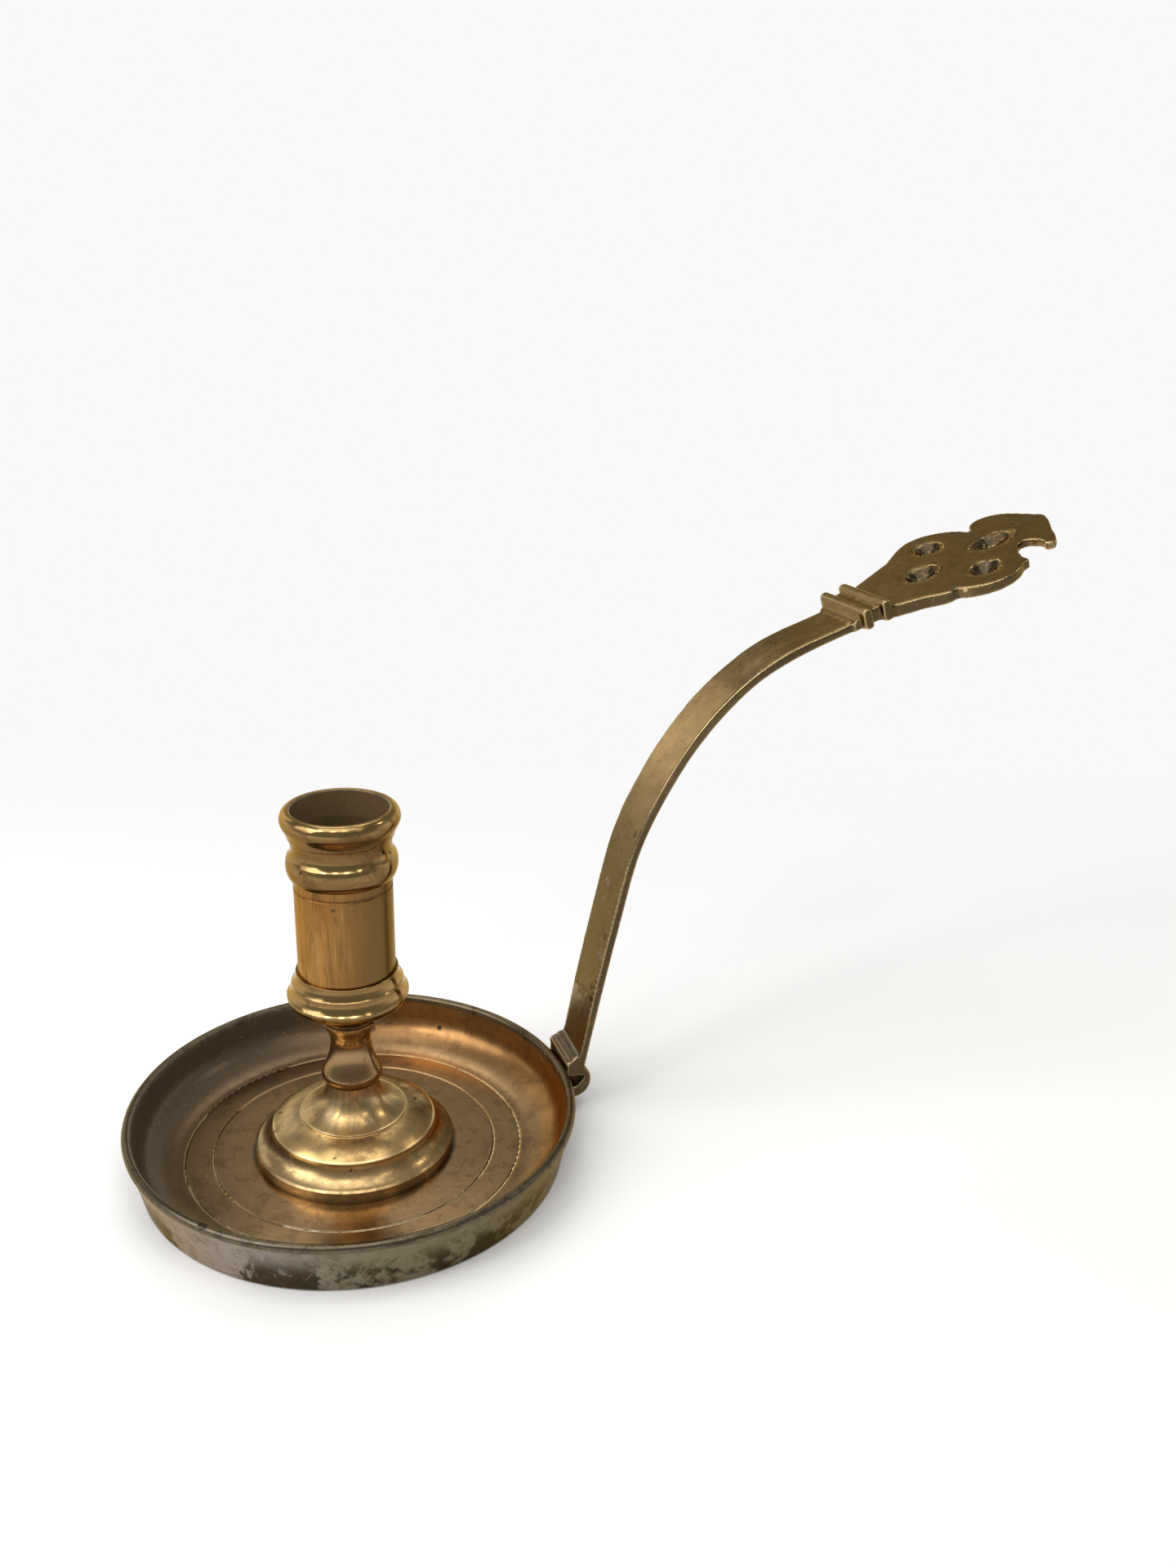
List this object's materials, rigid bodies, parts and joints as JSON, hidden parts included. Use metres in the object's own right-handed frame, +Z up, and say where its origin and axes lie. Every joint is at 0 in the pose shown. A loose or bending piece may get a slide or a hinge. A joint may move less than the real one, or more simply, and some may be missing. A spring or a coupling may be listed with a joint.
{
  "type": "chamberstick",
  "caption": "Brass chamberstick: round drip pan, turned stem with a tubular candle socket, and a long upswept strap handle with a pierced finial for carrying a lit candle.",
  "frame": {"origin": "on the stick's axis, at the level of the surface the pan stands on", "axes": "+X from the stick to the handle's finial, +Z up along the candle"},
  "size_m": [0.2841, 0.125, 0.1691],
  "materials": {
    "pan_brass": "satin, tarnished",
    "turned_brass": "turned and polished, worn",
    "tube_brass": "drawn, satin with lengthwise streaks",
    "rod_iron": "wrought iron, dark and rough",
    "washer_brass": "dull",
    "handle_brass": "cast and filed, satin",
    "rivet_brass": "filed flush"
  },
  "bodies": {
    "root": {"drip_pan": "pan_brass", "foot_dome": "turned_brass", "stem": "turned_brass", "socket_base": "turned_brass", "socket_tube": "tube_brass", "socket_mouth": "turned_brass", "tie_rod": "rod_iron", "tie_washer": "washer_brass", "tie_nut": "rod_iron", "handle": "handle_brass", "handle_rivets": "rivet_brass"}
  },
  "joints": []
}
